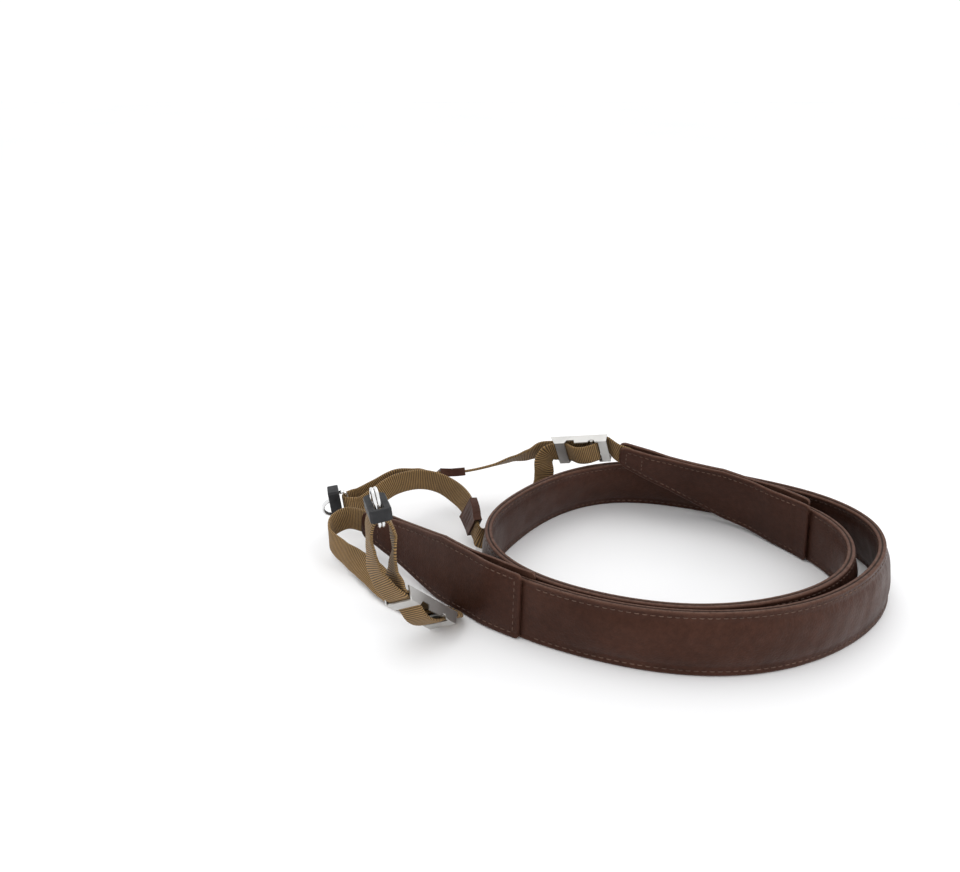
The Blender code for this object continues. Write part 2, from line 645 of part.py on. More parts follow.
def make_guard(name, base, down, across, above, mat):
    """A folded guard: two cheeks either side of the ring, joined past its far leg."""
    side = down.cross(across).normalized()
    near, far = GUARD_REACH
    s, h, c = GUARD_SLOT / 2.0, GUARD_WIDE / 2.0, 0.8
    web = far - GUARD_WALL
    outline = [(near + c, -h), (far - c, -h), (far, -h + c), (far, h - c), (far - c, h), (near + c, h), (near, h - c), (near, s), (web, s), (web, -s), (near, -s), (near, -h + c)]
    foot = base - down * above
    rings = []
    for tall, inset in ((0.0, 0.3), (0.3, 0.0), (GUARD_TALL - 0.3, 0.0), (GUARD_TALL, 0.3)):
        ring = []
        for a, b in outline:
            if abs(b) > s + 0.01:
                a, b = a - math.copysign(inset, a), b - math.copysign(inset, b)
            ring.append(foot - down * tall + across * a + side * b)
        rings.append(ring)
    return sweep(name, rings, mat)


def make_keeper(name, ribbon, near, length, mat):
    """A leather loop round the webbing, centred where the webbing passes closest to a point."""
    _, mid, wid, nor = ribbon
    cum = np.concatenate([[0.0], np.cumsum(np.linalg.norm(np.diff(mid, axis=0), axis=1))])
    centre = cum[int(np.argmin(np.linalg.norm(mid - np.array(near), axis=1)))]
    outer, inner = [], []
    for q in stations(centre - length / 2.0, centre + length / 2.0, 2.2):
        m, a, b = (Vector([float(np.interp(q, cum, v[:, i])) for i in range(3)]) for v in (mid, wid, nor))
        a.normalize()
        b.normalize()
        hw, ht = WEB_WIDTH / 2.0 + GAP, WEB_THICK / 2.0 + GAP
        for store, grow in ((inner, 0.0), (outer, KEEPER_WALL)):
            x, y = hw + grow, ht + grow
            store.append([m + a * x + b * y, m - a * x + b * y, m - a * x - b * y, m + a * x - b * y])
    return sleeve(name, outer, inner, mat)


# ---- assembly --------------------------------------------------------------------
ASSEMBLY = bpy.data.objects.new("neck_strap", None)
bpy.context.collection.objects.link(ASSEMBLY)

dark_leather = material("dark_leather", (0.075, 0.040, 0.030), 0.42)
tab_brown = material("tab_leather", (0.070, 0.035, 0.026), 0.48)
web_tan = material("webbing", (0.36, 0.27, 0.16), 0.85)
satin_steel = material("satin_steel", (0.62, 0.61, 0.60), 0.32, 1.0)
bright_steel = material("bright_steel", (0.80, 0.80, 0.80), 0.15, 1.0)
black_rubber = material("black_guard", (0.020, 0.020, 0.022), 0.55)

make_strap(dark_leather)
tab_leather("tab_a_front", -1, +1, tab_brown)
tab_leather("tab_a_back", -1, -1, tab_brown)
tab_leather("tab_b_front", +1, +1, tab_brown)
tab_leather("tab_b_back", +1, -1, tab_brown)

ribbon_a = ribbon_rings(webbing_a_rows())
sweep("webbing_a", ribbon_a[0], web_tan)
ribbon_b = ribbon_rings(webbing_b_rows())
sweep("webbing_b", ribbon_b[0], web_tan)

make_buckle("buckle_a", FRAME_A, satin_steel)
make_buckle("buckle_b", FRAME_B, satin_steel)

for key, ring, above in (("a", RING_A, 2.9), ("b", RING_B, 2.9)):
    tube("lug_ring_" + key, ring_path(**ring), WIRE / 2.0, bright_steel)
    make_guard("ring_guard_" + key, ring["base"], ring["down"], ring["across"], above, black_rubber)

make_keeper("keeper_b1", ribbon_b, (-14.0, 338.5, 19.0), 11.0, tab_brown)
make_keeper("keeper_b2", ribbon_b, (-3.6, 313.0, 11.8), 10.5, tab_brown)
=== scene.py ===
"""Looks of the leather neck strap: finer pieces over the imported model, materials, light and camera."""
import math

import bmesh
import bpy
import numpy as np
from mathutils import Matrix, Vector


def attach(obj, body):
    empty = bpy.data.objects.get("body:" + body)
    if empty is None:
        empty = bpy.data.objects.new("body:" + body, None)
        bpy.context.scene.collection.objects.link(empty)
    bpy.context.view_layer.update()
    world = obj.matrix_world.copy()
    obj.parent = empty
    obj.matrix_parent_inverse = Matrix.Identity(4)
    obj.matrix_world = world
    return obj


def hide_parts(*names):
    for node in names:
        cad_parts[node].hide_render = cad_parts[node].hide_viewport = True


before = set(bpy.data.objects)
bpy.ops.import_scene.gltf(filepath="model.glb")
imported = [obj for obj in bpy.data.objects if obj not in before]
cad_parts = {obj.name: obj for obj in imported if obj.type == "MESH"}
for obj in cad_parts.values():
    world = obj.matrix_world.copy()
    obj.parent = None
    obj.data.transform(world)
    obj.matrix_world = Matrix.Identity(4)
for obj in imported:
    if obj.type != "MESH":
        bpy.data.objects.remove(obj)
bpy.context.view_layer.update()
MM = 0.001

# ---- driving sizes (mm) ------------------------------------------------------
STRAP_WIDTH = 24.0          # padded strap, edge to edge
STRAP_EDGE = 2.8            # thickness of the sewn edge, two leathers thick
STRAP_SKIVED = 2.2          # thickness of the thinned end inside a tab
STRAP_LENGTH = 602.4        # padded strap, from joint to joint
STRAP_TUCK = 11.0           # length of each strap end between the tab leathers
MARGIN = 3.6                # flat sewn border beside the padding
TAB_WIDTH = 26.0
TAB_LEATHER = 1.3           # thickness of each tab leather
TAB_BODY = 38.5             # full width part of a tab
TAB_LENGTH = 85.4           # with its tongue
TONGUE_TIP = 10.9           # width of the tongue at its tip
BACK_OVERHANG = 3.5         # the inner leather reaches this much past the outer one
GAP = 0.32                  # clearance between touching pieces
WEB_WIDTH = 10.0
WEB_THICK = 1.1
WEB_TUCK = 11.0             # length of webbing sewn between the tongue leathers
BUCKLE_WIDTH = 12.4
BUCKLE_LENGTH = 23.0
BUCKLE_DEPTH = 4.5
SHEET_METAL = 0.65
COLLAR = 4.3                # length of the buckle's sleeve
REAR_BAND = 3.6
BAR_AT = 16.4               # crossbar, from the mouth of the sleeve
BAR_RADIUS = 0.8
NOTCH = 1.55                # radius of the round notch over the crossbar
MOUTH_SLANT = -2.4          # the back corner of each side wall reaches past the mouth
WIRE = 1.1                  # diameter of the ring wire
RING_BASE = 14.4            # inside width of the ring's straight side
RING_HEIGHT = 14.2          # from the middle of the straight side to the apex
RING_CORNERS = (1.4, 3.2)   # bend of the wire at the base and at the apex
GUARD_WIDE = 7.4            # across the ring
GUARD_REACH = (-3.4, 8.9)   # along the base, from its middle
GUARD_TALL = 4.6
GUARD_SLOT = 3.0
GUARD_WALL = 1.5
KEEPER_WALL = 0.9

# The whole assembly is laid out about the point seen as the middle of its footprint.
ORIGIN_X = 45.34
ORIGIN_Y = 287.58
ORIGIN_Z = 0.04

# ---- route of the leather, along its middle -------------------------------------
# at: distance along the leather from joint a; heading: direction of travel;
# lean: how far the top edge stands inside the bottom edge; lift: height of the bottom edge
ROUTE_START = (14.79, 246.81)
ROUTE = (
    # at,    heading, lean, lift
    (-86.4, -38.5, 3.0, 0.6),     # tip of tongue a
    (-51.3, -48.0, 2.8, 0.3),
    (-20.7, -38.5, 2.0, 0.3),
    (10.0, -27.5, 0.3, 0.3),      # past joint a
    (40.6, -16.0, 0.4, 0.3),
    (71.3, 2.3, 1.9, 0.3),        # front of the outer turn
    (101.9, 23.3, 1.9, 0.3),
    (132.6, 41.6, 2.9, 0.3),
    (163.3, 70.4, 5.1, 0.3),      # right end of the outer turn
    (193.9, 117.0, 7.3, 0.3),
    (224.6, 150.0, 7.6, 0.3),
    (255.2, 157.7, 6.8, 0.3),     # rear
    (285.9, 172.5, 6.8, 0.3),
    (316.5, 206.9, 6.6, 0.3),
    (347.2, 231.4, 3.7, 0.3),
    (377.8, 249.2, 0.6, 0.3),     # left end
    (408.5, 295.0, -0.6, 0.3),
    (439.2, 328.1, -0.1, 0.3),
    (469.8, 346.2, 0.8, 0.3),
    (500.5, 367.8, 1.8, 0.3),     # front of the inner turn
    (531.1, 388.7, 2.5, 0.3),
    (561.8, 424.0, 3.2, 0.3),     # right end of the inner turn
    (592.4, 472.2, 2.5, 0.6),     # before joint b
    (623.1, 493.8, 4.8, 1.6),
    (653.8, 520.0, 7.4, 6.6),     # tongue b starts to climb
    (688.8, 532.0, 8.4, 18.6),    # tip of tongue b
)

# padding beside the middle of the strap: how far each face swells past the sewn edge
PADDING = (
    # at,    outer, inner
    (0.0, 0.0, 0.0),
    (10.0, 0.25, 0.0),
    (30.0, 1.25, 0.05),
    (112.0, 1.25, 0.05),
    (140.0, 1.15, 0.8),
    (400.0, 1.15, 0.8),
    (424.0, 0.05, 1.15),
    (522.0, 0.05, 1.15),
    (548.0, 1.0, 1.05),
    (580.0, 1.0, 0.9),
    (594.0, 0.25, 0.2),
    (602.4, 0.0, 0.0),
)

# ---- buckle a: where the mouth of its sleeve is and how it is turned -------------
BUCKLE_A = dict(mouth=(-27.3, 241.7, 20.5), length_axis=(0.62, 0.36, -0.69), width_axis=(0.78, -0.40, 0.49))
BUCKLE_B = dict(mouth=(34.9, 344.4, 27.7), length_axis=(0.945, -0.30, 0.19), width_axis=(-0.20, -0.30, 0.93))


# ---- rings: middle of the straight side, direction from apex to it, direction along it ----
RING_A = dict(base=(-33.8, 247.3, 48.2), down=(0.09, 0.03, -1.0), across=(0.30, -0.95, 0.0))
RING_B = dict(base=(-57.0, 323.6, 11.6), down=(0.95, 0.20, 0.10), across=(0.16, 0.0, 0.98))
for ring in (RING_A, RING_B):
    ring["base"], ring["down"], along = Vector(ring["base"]), Vector(ring["down"]).normalized(), Vector(ring["across"])
    ring["across"] = (along - ring["down"] * along.dot(ring["down"])).normalized()


# ---- curves --------------------------------------------------------------------
def spline(at, values, query):
    """Natural cubic spline through the rows (at, values), read at query."""
    x = np.asarray(at, float)
    y = np.asarray(values, float)
    n = len(x)
    h = np.diff(x)
    a = np.zeros((n, n))
    b = np.zeros(n)
    a[0, 0] = a[-1, -1] = 1.0
    for i in range(1, n - 1):
        a[i, i - 1] = h[i - 1]
        a[i, i] = 2.0 * (h[i - 1] + h[i])
        a[i, i + 1] = h[i]
        b[i] = 6.0 * ((y[i + 1] - y[i]) / h[i] - (y[i] - y[i - 1]) / h[i - 1])
    m = np.linalg.solve(a, b)
    q = np.atleast_1d(np.asarray(query, float))
    k = np.clip(np.searchsorted(x, q) - 1, 0, n - 2)
    t0, t1 = q - x[k], x[k + 1] - q
    return (m[k] * t1 ** 3 + m[k + 1] * t0 ** 3) / (6.0 * h[k]) \
        + (y[k] / h[k] - m[k] * h[k] / 6.0) * t1 + (y[k + 1] / h[k] - m[k + 1] * h[k] / 6.0) * t0


def eased(rows, column, query):
    """Rows (at, ...) joined by smooth steps, read at query."""
    x = np.array([r[0] for r in rows], float)
    y = np.array([r[column] for r in rows], float)
    q = np.clip(np.atleast_1d(np.asarray(query, float)), x[0], x[-1])
    k = np.clip(np.searchsorted(x, q) - 1, 0, len(x) - 2)
    t = (q - x[k]) / (x[k + 1] - x[k])
    t = t * t * (3.0 - 2.0 * t)
    return y[k] * (1.0 - t) + y[k + 1] * t


class Leather:
    """The standing leather: its middle line on plan, and the frame at each distance."""

    def __init__(self, step=0.5):
        at = [r[0] for r in ROUTE]
        self.s = np.arange(at[0], at[-1] + step / 2, step)
        head = np.radians(spline(at, [r[1] for r in ROUTE], self.s))
        c, s = np.cos(head), np.sin(head)
        x = np.concatenate([[0.0], np.cumsum((c[1:] + c[:-1]) / 2 * step)])
        y = np.concatenate([[0.0], np.cumsum((s[1:] + s[:-1]) / 2 * step)])
        self.x = x + ROUTE_START[0] - np.interp(0.0, self.s, x)
        self.y = y + ROUTE_START[1] - np.interp(0.0, self.s, y)
        self.head = head
        self.lean = spline(at, [r[2] for r in ROUTE], self.s)
        self.lift = spline(at, [r[3] for r in ROUTE], self.s)

    def frame(self, s, width):
        """Middle of the section, its upward direction and its outward direction."""
        x, y, head, lean, lift = (float(np.interp(s, self.s, v)) for v in (self.x, self.y, self.head, self.lean, self.lift))
        inward = Vector((-math.sin(head), math.cos(head), 0.0))
        up = (inward * lean + Vector((0.0, 0.0, math.sqrt(STRAP_WIDTH ** 2 - lean ** 2)))).normalized()
        along = Vector((math.cos(head), math.sin(head), 0.0))
        out = along.cross(up).normalized()
        middle = Vector((x, y, lift)) + up * (width / 2.0)
        return middle, up, out


LEATHER = Leather()


def place(p):
    return Vector((p[0] - ORIGIN_X, p[1] - ORIGIN_Y, p[2] - ORIGIN_Z)) * MM


def stations(start, end, step):
    n = max(2, int(round((end - start) / step)) + 1)
    return np.linspace(start, end, n)


# ---- padded strap ----------------------------------------------------------------
def strap_half(s):
    """Half the thickness of the sewn edge; the ends are thinned where the tabs hold them."""
    inside = np.clip(min(s, STRAP_LENGTH - s) / 8.0, 0.0, 1.0)
    return (STRAP_SKIVED + (STRAP_EDGE - STRAP_SKIVED) * inside) / 2.0


# ---- tabs ------------------------------------------------------------------------
def tab_width(d):
    """Width at distance d from the joint: full, then tapering along the tongue."""
    t = np.clip((d - TAB_BODY) / (TAB_LENGTH - TAB_BODY), 0.0, 1.0)
    return TAB_WIDTH + (TONGUE_TIP - TAB_WIDTH) * t


def tab_inner(d):
    """Distance from the middle line to the inside of either leather."""
    hold = STRAP_SKIVED / 2.0 + GAP
    web = WEB_THICK / 2.0 + GAP
    rows = ((-4.0, hold + 0.02), (STRAP_TUCK + 1.5, hold), (STRAP_TUCK + 16.0, 0.2), (TAB_LENGTH - WEB_TUCK - 12.0, 0.2),
            (TAB_LENGTH - WEB_TUCK - 1.5, web), (TAB_LENGTH, web))
    base = float(eased(rows, 1, d)[0])
    if d < 8.0:        # the strap swells again towards the joint
        base = max(base, strap_half(-d if d < 0 else 0.0) + GAP)
    return base


# ---- webbing ----------------------------------------------------------------------
def through(points, extra, fine=14):
    """A smooth line through points, with the extra columns eased along it."""
    p, e = np.asarray(points, float), np.asarray(extra, float)
    step = np.sqrt(np.linalg.norm(np.diff(p, axis=0), axis=1))
    slope = np.diff(p, axis=0) / step[:, None]
    tangent = np.empty_like(p)
    tangent[0], tangent[-1] = slope[0], slope[-1]
    a, b = step[:-1, None], step[1:, None]
    tangent[1:-1] = (slope[:-1] * b + slope[1:] * a) / (a + b)
    line, more = [], []
    for i, h in enumerate(step):
        for t in np.linspace(0.0, 1.0, fine + 1)[: None if i == len(step) - 1 else -1]:
            u = 1.0 - t
            line.append((1 + 2 * t) * u * u * p[i] + t * u * u * h * tangent[i] + t * t * (3 - 2 * t) * p[i + 1] - t * t * u * h * tangent[i + 1])
            ease = t * t * (3 - 2 * t)
            more.append(e[i] * (1 - ease) + e[i + 1] * ease)
    return np.array(line), np.array(more)


class Frame:
    """Local frame of a buckle: u along it, v across it, w out of its front."""

    def __init__(self, mouth, length_axis, width_axis):
        self.o = Vector(mouth)
        self.u = Vector(length_axis).normalized()
        v = Vector(width_axis)
        self.v = (v - self.u * v.dot(self.u)).normalized()
        self.w = self.u.cross(self.v).normalized()

    def at(self, u, v, w):
        return self.o + self.u * u + self.v * v + self.w * w

    def row(self, u, w):
        p = self.at(u, 0.0, w)
        return (*p, *self.v)


FRAME_A = Frame(**BUCKLE_A)
FRAME_B = Frame(**BUCKLE_B)

# strands inside a buckle, from the rear: under the bar, then through the sleeve
BACK_STRAND = ((23.4, -1.6), (20.8, -2.0), (18.4, -2.25), (16.2, -2.3), (13.6, -2.1), (10.6, -1.55), (7.6, -1.0), (5.4, -0.78), (3.4, -0.76), (1.6, -0.76), (0.0, -0.77), (-1.6, -0.84))
# and back: through the sleeve, swelling out in front, round the bar to the cut end
FRONT_STRAND = ((-1.6, 0.80), (0.0, 0.77), (1.8, 0.76), (3.6, 0.78), (5.0, 1.25), (6.8, 2.5), (9.0, 3.75), (11.6, 4.15), (14.2, 3.75), (16.4, 2.90),
                (17.75, 2.10), (18.25, 0.95), (17.7, -0.25), (16.4, -0.72), (14.9, -0.62))
# webbing a turns sharply behind its buckle
REAR_TURN = ((25.2, -2.2),)


def tip_row(end, d, offset=0.0):
    """A row of webbing on the middle line of a tab, d past its joint."""
    joint = 0.0 if end < 0 else STRAP_LENGTH
    s = joint + end * d
    lo, hi = LEATHER.s[0], LEATHER.s[-1]
    past = 0.0
    if s < lo:
        past, s = s - lo, lo
    if s > hi:
        past, s = s - hi, hi
    middle, up, out = LEATHER.frame(s, TAB_WIDTH)
    near, _, _ = LEATHER.frame(s + 1.0 if end < 0 else s - 1.0, TAB_WIDTH)
    along = (near - middle if end < 0 else middle - near).normalized()
    p = middle + along * past + out * offset
    return (*p, *up)


def round_bar(ring, first, spread, leave):
    """Rows that lead over a ring's straight side: first is the side the strand comes from."""
    side = ring["down"].cross(ring["across"]).normalized()
    table = ((1.0, leave), (0.86, 2.4), (0.50, -0.55), (0.0, -1.5))
    rows = [(first * spread * a, d) for a, d in table] + [(-first * spread * a, d) for a, d in table[-2::-1]]
    return [(*(ring["base"] + side * a + ring["down"] * d), *ring["across"]) for a, d in rows]


def webbing_a_rows():
    rows = [tip_row(-1, TAB_LENGTH - WEB_TUCK + 1.0), tip_row(-1, TAB_LENGTH - 4.0), tip_row(-1, TAB_LENGTH + 2.0)]
    # turns back beside the tab towards the buckle
    rows += [
        (-55.4, 308.6, 13.2, 0.0, 0.05, 1.0),
        (-60.6, 305.0, 11.6, 0.0, 0.0, 1.0),
        (-60.8, 298.8, 9.6, 0.0, 0.0, 1.0),
        (-54.4, 291.5, 7.4, 0.05, 0.16, 0.98),
        (-48.5, 286.0, 6.4, 0.27, 0.32, 0.91),
        (-42.0, 280.3, 4.9, 0.50, 0.57, 0.64),
        (-36.3, 273.6, 3.3, 0.62, 0.71, 0.31),
        (-29.6, 267.2, 1.8, 0.60, 0.79, 0.07),
        (-23.0, 262.4, 1.2, 0.48, 0.87, 0.0),
        (-17.0, 259.9, 1.2, 0.55, 0.83, 0.0),
        (-12.4, 257.6, 1.4, 0.92, 0.38, 0.06),
        (-10.9, 254.2, 3.0, 0.88, -0.30, 0.34),
    ]
    rows += [FRAME_A.row(u, w) for u, w in REAR_TURN + BACK_STRAND]
    # up to the ring, over its straight side, and down again
    rows += [
        (-28.9, 242.6, 26.0, 0.68, -0.56, 0.47),
        (-29.3, 244.2, 31.0, 0.36, -0.82, 0.44),
        (-28.9, 245.8, 36.4, 0.16, -0.90, 0.40),
    ]
    rows += round_bar(RING_A, -1.0, 4.1, 6.6)
    rows += [
        (-36.6, 245.0, 36.4, 0.42, -0.88, 0.15),
        (-35.3, 242.6, 30.6, 0.58, -0.72, 0.30),
        (-32.0, 240.6, 25.4, 0.72, -0.52, 0.44),
    ]
    rows += [FRAME_A.row(u, w) for u, w in FRONT_STRAND]
    return rows


def webbing_b_rows():
    rows = [tip_row(1, TAB_LENGTH - WEB_TUCK + 1.0), tip_row(1, TAB_LENGTH - 4.0), tip_row(1, TAB_LENGTH + 0.8)]
    rows += [(*FRAME_B.at(22.2, 0.35, -1.8), *FRAME_B.v)]
    rows += [FRAME_B.row(u, w) for u, w in BACK_STRAND[2:]]
    # the upper strand, edge on, to the far ring
    rows += [
        (28.4, 347.6, 26.6, -0.20, -0.36, 0.90),
        (21.6, 347.0, 24.2, -0.12, -0.62, 0.76),
        (14.6, 345.6, 22.9, -0.12, -0.80, 0.56),
        (5.2, 343.4, 20.6, -0.14, -0.88, 0.42),
        (-4.6, 341.0, 19.3, -0.15, -0.88, 0.40),
        (-12.5, 339.1, 19.2, -0.15, -0.88, 0.40),
        (-20.5, 337.0, 19.2, -0.14, -0.80, 0.55),
        (-28.5, 334.8, 19.3, -0.04, -0.32, 0.94),
        (-37.0, 332.4, 19.4, 0.05, -0.10, 1.0),
        (-45.0, 330.2, 15.6, 0.14, 0.0, 0.98),
    ]
    rows += round_bar(RING_B, -1.0, 3.9, 5.6)
    # the lower strand: back, down to the floor, along behind the strap and up to the buckle
    rows += [
        (-44.6, 323.6, 15.4, 0.14, 0.0, 0.98),
        (-36.6, 327.0, 19.4, 0.05, -0.05, 1.0),
        (-26.0, 329.6, 20.6, 0.10, -0.10, 0.99),
        (-17.6, 328.4, 19.4, 0.30, -0.15, 0.94),
        (-10.6, 324.2, 17.0, 0.40, -0.10, 0.90),
        (-6.2, 318.8, 15.0, 0.34, -0.10, 0.93),
        (-3.6, 312.6, 12.0, 0.22, -0.05, 0.97),
        (-2.2, 307.6, 8.9, 0.08, 0.0, 0.99),
        (-0.2, 304.4, 6.8, 0.0, 0.0, 1.0),
        (3.9, 305.6, 5.9, 0.0, 0.0, 1.0),
        (8.4, 313.0, 5.8, -0.05, 0.05, 1.0),
        (13.4, 321.6, 5.7, -0.05, 0.10, 1.0),
        (18.6, 329.8, 5.7, 0.0, 0.10, 1.0),
        (22.4, 335.6, 6.0, 0.0, 0.0, 1.0),
        (25.8, 339.4, 8.0, -0.34, -0.30, 0.89),
        (27.9, 341.9, 12.2, -0.72, -0.42, 0.50),
        (28.9, 343.6, 16.8, -0.86, -0.36, 0.26),
        (28.6, 344.4, 22.4, -0.70, -0.40, 0.60),
        (30.6, 344.6, 26.0, -0.36, -0.36, 0.86),
    ]
    rows += [FRAME_B.row(u, w) for u, w in FRONT_STRAND]
    return rows


def ring_outline(steps=14):
    """One turn of the ring on its own plane, from the middle of a leg round to it again."""
    half, wire = RING_BASE / 2.0, WIRE / 2.0
    base_bend, apex_bend = RING_CORNERS
    corners = ((half + wire, 0.0, base_bend), (0.0, RING_HEIGHT, apex_bend), (-half - wire, 0.0, base_bend))
    flat = []
    for i, (x, y, bend) in enumerate(corners):
        here = Vector((x, y))
        before, after = (Vector(corners[k][:2]) for k in (i - 1, (i + 1) % 3))
        to_before, to_after = (before - here).normalized(), (after - here).normalized()
        angle = to_before.angle(to_after)
        reach = bend / math.tan(angle / 2.0)
        centre = here + (to_before + to_after).normalized() * (bend / math.sin(angle / 2.0))
        a, b = here + to_before * reach - centre, here + to_after * reach - centre
        turn = a.angle_signed(b)
        for k in range(steps + 1):
            q = -turn * k / steps
            c, d = math.cos(q), math.sin(q)
            flat.append(centre + Vector((a.x * c - a.y * d, a.x * d + a.y * c)))
    cut = steps + 1
    middle = (flat[cut - 1] + flat[cut]) / 2.0
    return [middle] + flat[cut:] + flat[:cut] + [middle]


def ring_path(base, down, across, pitch=WIRE + 0.16, step_over=3.0):
    """Two turns of a rounded triangle lying side by side, with a short step from one to the other."""
    side = down.cross(across).normalized()
    loop = ring_outline()
    lens = [0.0]
    for a, b in zip(loop[:-1], loop[1:]):
        lens.append(lens[-1] + (b - a).length)
    turn = lens[-1]
    marks = [v for v in lens if v < turn - step_over - 0.8]
    at = [0.5] + marks[1:] + [turn - step_over, turn - step_over / 2.0, turn] + [turn + v for v in marks[1:]] + [2 * turn - step_over - 0.5]
    out = []
    for q in at:
        x, y = (float(np.interp(q % turn if q < 2 * turn else turn, lens, [p[k] for p in loop])) for k in (0, 1))
        t = min(max((q - (turn - step_over)) / step_over, 0.0), 1.0)
        out.append(base - down * y + across * x + side * (pitch * (t * t * (3 - 2 * t) - 0.5)))
    return out



# ---- camera, floor and light ----------------------------------------------------------
scene = bpy.context.scene
CAMERA_HEIGHT = 188.0
cam = bpy.data.objects.new("camera", bpy.data.cameras.new("camera"))
cam.data.sensor_width = 36.0
cam.data.sensor_fit = "HORIZONTAL"
cam.data.lens = 31.875
cam.data.clip_start = 0.005
cam.location = place((0.0, 0.0, CAMERA_HEIGHT))
cam.rotation_euler = (math.radians(66.0), 0.0, 0.0)
scene.collection.objects.link(cam)
scene.camera = cam


def nodes_of(mat):
    mat.use_nodes = True
    t = mat.node_tree
    return t, t.nodes["Principled BSDF"]


def link(t, a, b):
    t.links.new(a, b)


def coordinates(t, kind="Object"):
    return t.nodes.new("ShaderNodeTexCoord").outputs[kind]


def noise(t, where, scale, detail=4.0, rough=0.55):
    n = t.nodes.new("ShaderNodeTexNoise")
    n.inputs["Scale"].default_value = scale
    n.inputs["Detail"].default_value = detail
    n.inputs["Roughness"].default_value = rough
    link(t, where, n.inputs["Vector"])
    return n.outputs["Fac"]


def cells(t, where, scale, feature="DISTANCE_TO_EDGE"):
    n = t.nodes.new("ShaderNodeTexVoronoi")
    n.feature = feature
    n.inputs["Scale"].default_value = scale
    link(t, where, n.inputs["Vector"])
    return n.outputs["Distance"]


def ramp(t, value, stops):
    n = t.nodes.new("ShaderNodeValToRGB")
    e = n.color_ramp.elements
    while len(e) < len(stops):
        e.new(0.5)
    for el, (at, c) in zip(e, stops):
        el.position = at
        el.color = (*c, 1.0) if len(c) == 3 else c
    link(t, value, n.inputs["Fac"])
    return n.outputs["Color"]


def spread(t, value, lo, hi, to_lo, to_hi):
    n = t.nodes.new("ShaderNodeMapRange")
    for name, v in (("From Min", lo), ("From Max", hi), ("To Min", to_lo), ("To Max", to_hi)):
        n.inputs[name].default_value = v
    link(t, value, n.inputs["Value"])
    return n.outputs["Result"]


def maths(t, op, a, b=None):
    n = t.nodes.new("ShaderNodeMath")
    n.operation = op
    for i, v in enumerate((a, b)):
        if v is None:
            continue
        if isinstance(v, (int, float)):
            n.inputs[i].default_value = v
        else:
            link(t, v, n.inputs[i])
    return n.outputs["Value"]


def tint(t, a, b, how, amount):
    n = t.nodes.new("ShaderNodeMix")
    n.data_type = "RGBA"
    n.blend_type = how
    if isinstance(amount, float):
        n.inputs[0].default_value = amount
    else:
        link(t, amount, n.inputs[0])
    link(t, a, n.inputs[6])
    link(t, b, n.inputs[7])
    return n.outputs[2]


def bumps(t, bsdf, layers):
    last = None
    for height, strength, distance in layers:
        n = t.nodes.new("ShaderNodeBump")
        n.inputs["Strength"].default_value = strength
        n.inputs["Distance"].default_value = distance
        link(t, height, n.inputs["Height"])
        if last is not None:
            link(t, last, n.inputs["Normal"])
        last = n.outputs["Normal"]
    link(t, last, bsdf.inputs["Normal"])


def leather(name, dark, light, ridge_highlight, rough=(0.36, 0.56), grain=820.0, depth=0.9):
    mat = bpy.data.materials.new(name)
    t, b = nodes_of(mat)
    at = coordinates(t)
    broad = noise(t, at, 32.0, 3.0)
    fine = noise(t, at, 520.0, 5.0, 0.6)
    base = ramp(t, broad, ((0.30, dark), (0.72, light)))
    mottled = ramp(t, fine, ((0.35, (0.72, 0.70, 0.69)), (0.68, (1.25, 1.24, 1.23))))
    colour = tint(t, base, mottled, "MULTIPLY", 0.8)
    # painted highlight: the convex ridges get a lighter colour, as if light catches them
    geo = t.nodes.new("ShaderNodeNewGeometry")
    ridge = spread(t, geo.outputs["Pointiness"], 0.515, 0.56, 0.0, 0.55)
    highlight_mask = maths(t, "MULTIPLY", ridge, spread(t, noise(t, at, 160.0, 4.0), 0.35, 0.65, 0.3, 1.0))
    highlight_colour = ramp(t, fine, ((0.0, ridge_highlight), (1.0, ridge_highlight)))
    link(t, tint(t, colour, highlight_colour, "MIX", highlight_mask), b.inputs["Base Color"])
    link(t, spread(t, noise(t, at, 90.0, 5.0), 0.3, 0.7, *rough), b.inputs["Roughness"])
    pebble = cells(t, at, grain)
    bumps(t, b, ((spread(t, pebble, 0.0, 0.25, 0.0, 1.0), 0.30 * depth, 0.00016),
                 (noise(t, at, 2400.0, 3.0), 0.22 * depth, 0.00008),
                 (noise(t, at, 140.0, 4.0), 0.30 * depth, 0.00035)))
    b.inputs["Specular IOR Level"].default_value = 0.30
    b.inputs["Specular Tint"].default_value = (0.95, 0.50, 0.38, 1.0)
    b.inputs["Coat Weight"].default_value = 0.025
    b.inputs["Coat Roughness"].default_value = 0.34
    return mat


def raw_edge(name, dark, light):
    mat = bpy.data.materials.new(name)
    t, b = nodes_of(mat)
    at = coordinates(t)
    link(t, ramp(t, noise(t, at, 700.0, 6.0, 0.7), ((0.3, dark), (0.7, light))), b.inputs["Base Color"])
    link(t, spread(t, noise(t, at, 300.0), 0.3, 0.7, 0.55, 0.75), b.inputs["Roughness"])
    bumps(t, b, ((noise(t, at, 1500.0, 5.0), 0.5, 0.0002),))
    b.inputs["Specular IOR Level"].default_value = 0.22
    b.inputs["Specular Tint"].default_value = (0.95, 0.60, 0.48, 1.0)
    return mat


def thread_material():
    mat = bpy.data.materials.new("sewing_thread")
    t, b = nodes_of(mat)
    at = coordinates(t)
    link(t, ramp(t, noise(t, at, 60.0, 5.0), ((0.35, (0.050, 0.023, 0.014)), (0.7, (0.135, 0.072, 0.047)))), b.inputs["Base Color"])
    link(t, spread(t, noise(t, at, 900.0), 0.3, 0.7, 0.6, 0.85), b.inputs["Roughness"])
    bumps(t, b, ((noise(t, at, 5000.0, 2.0), 0.5, 0.0001),))
    return mat


